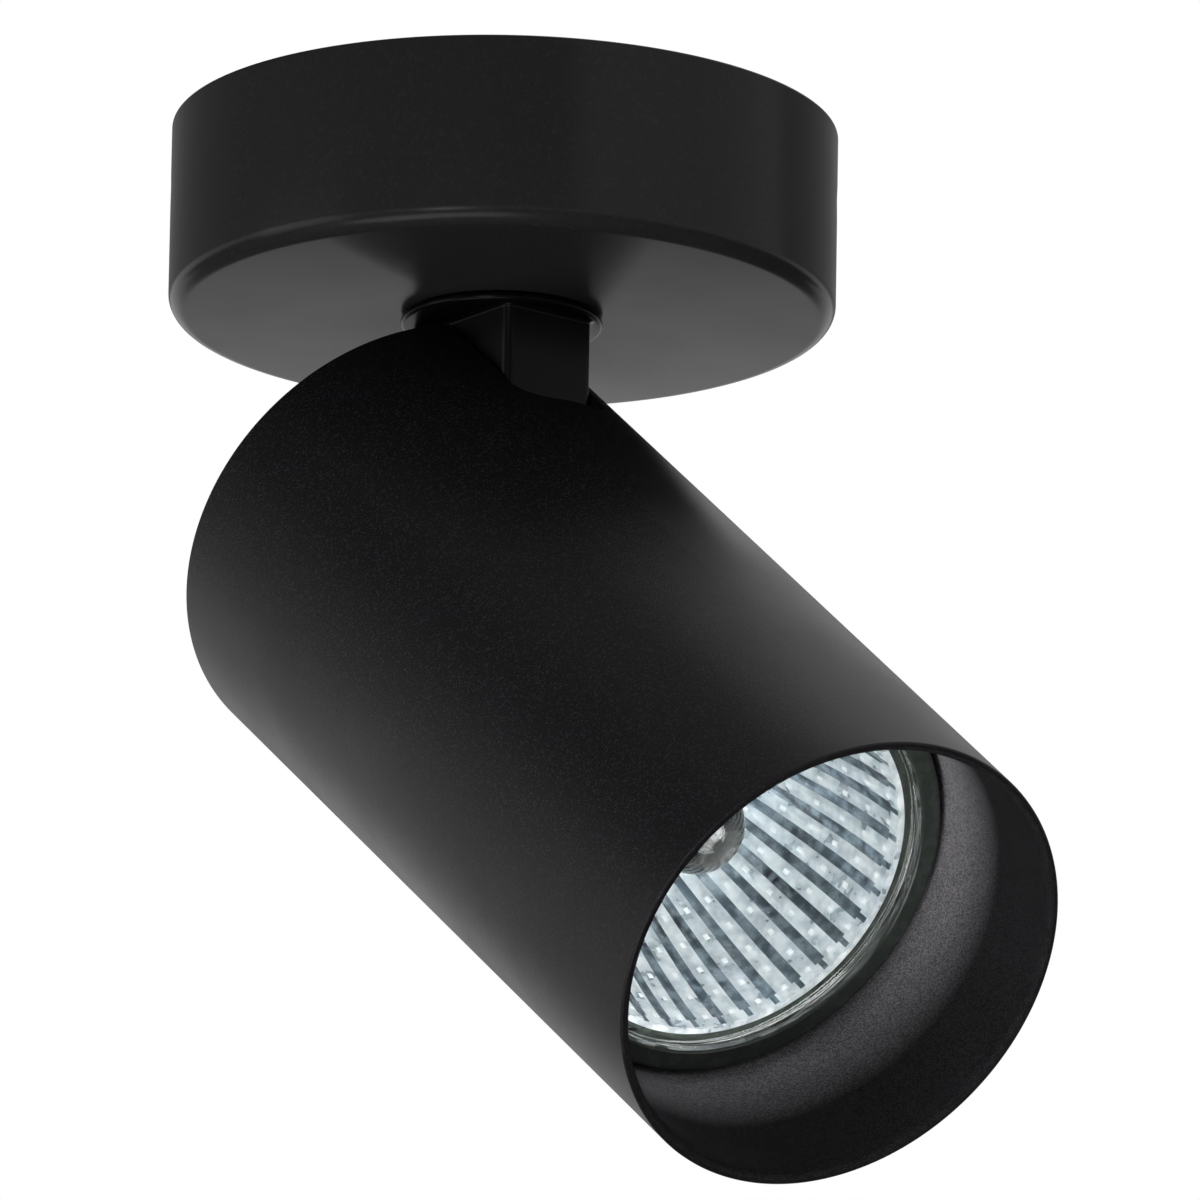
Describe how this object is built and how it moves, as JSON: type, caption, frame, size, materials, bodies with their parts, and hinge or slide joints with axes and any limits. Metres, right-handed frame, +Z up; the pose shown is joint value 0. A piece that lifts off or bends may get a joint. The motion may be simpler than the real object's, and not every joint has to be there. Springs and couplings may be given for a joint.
{
  "type": "ceiling spotlight",
  "caption": "Black ceiling spotlight: round canopy, swivelling knuckle and a plain cylindrical tube that tilts and holds a twist-lock reflector lamp.",
  "frame": {"origin": "centre of the canopy and of the bracket's slots, on the ceiling plane", "axes": "+Z up into the ceiling, X along the bracket's strap, -Y towards the viewer of the picture"},
  "size_m": [0.101, 0.1095, 0.1317],
  "materials": {
    "canopy_black": "satin black paint",
    "knuckle_black": "glossy black paint on a zinc casting",
    "tube_black": "fine-grained matte black powder coat",
    "zinc_steel": "zinc-plated steel",
    "screw_steel": "bright steel",
    "black_steel": "blackened steel",
    "brass": "plain brass",
    "tinned_copper": "tinned copper",
    "terminal_nylon": "white moulded nylon",
    "bushing_nylon": "natural nylon",
    "fibre": "red vulcanised fibre",
    "cast_aluminium": "raw die-cast aluminium",
    "holder_ceramic": "unglazed white ceramic",
    "base_ceramic": "unglazed white ceramic",
    "mirror_glass": "pressed glass, aluminised and faceted inside",
    "clear_glass": "clear cover glass",
    "quartz_glass": "frosted quartz",
    "tungsten": "tungsten wire",
    "lead_brown": "silicone insulation",
    "lead_blue": "silicone insulation",
    "lead_green": "silicone insulation, green and yellow"
  },
  "bodies": {
    "base": {"canopy": "canopy_black", "ceiling_bracket": "zinc_steel", "canopy_grub_screws": "black_steel", "stop_pin": "screw_steel", "terminal_body": "terminal_nylon", "terminal_clamps": "brass", "terminal_screws": "screw_steel", "terminal_fixing_screw": "screw_steel", "earth_tag": "tinned_copper", "earth_screw": "brass", "upper_friction_washer": "fibre", "live_lead_canopy": "lead_brown", "neutral_lead_canopy": "lead_blue", "earth_lead_canopy": "lead_green"},
    "swivel": {"knuckle": "knuckle_black", "swivel_nipple": "zinc_steel", "lower_friction_washer": "fibre", "stop_washer": "screw_steel", "spring_washer": "screw_steel", "swivel_nut": "zinc_steel", "lock_nut": "zinc_steel", "nipple_bushing": "bushing_nylon", "live_lead_knuckle": "lead_brown", "neutral_lead_knuckle": "lead_blue", "earth_lead_knuckle": "lead_green"},
    "head": {"lamp_tube": "tube_black", "rear_cap": "tube_black", "hinge_bulkhead": "cast_aluminium", "bulkhead_set_screws": "black_steel", "pivot_screw": "black_steel", "pivot_nut": "zinc_steel", "pivot_washers": "fibre", "lampholder": "holder_ceramic", "lampholder_contacts": "brass", "lampholder_screws": "screw_steel", "head_earth_tag": "tinned_copper", "head_earth_screw": "brass", "live_lead_head": "lead_brown", "neutral_lead_head": "lead_blue", "earth_lead_head": "lead_green"},
    "lamp": {"lamp_base": "base_ceramic", "lamp_pins": "screw_steel", "lamp_reflector": "mirror_glass", "lamp_front_glass": "clear_glass", "lamp_capsule": "quartz_glass", "lamp_filament": "tungsten"}
  },
  "joints": [
    {"name": "swivel", "type": "hinge", "parent": "base", "child": "swivel", "pos_m": [0, 0, -0.022], "axis": [0, 0, 1], "range_deg": [-165, 165], "deforming": ["live_lead_canopy", "neutral_lead_canopy", "earth_lead_canopy"]},
    {"name": "tilt", "type": "hinge", "parent": "swivel", "child": "head", "pos_m": [0, 0, -0.04889], "axis": [-0.788, -0.6157, 0], "range_deg": [-51, 9], "deforming": ["live_lead_head", "neutral_lead_head", "earth_lead_head"]},
    {"name": "lamp_twist", "type": "hinge", "parent": "head", "child": "lamp", "pos_m": [0.02814, -0.03602, -0.0962], "axis": [-0.4785, 0.6124, 0.6293], "range_deg": [0, 25]}
  ]
}
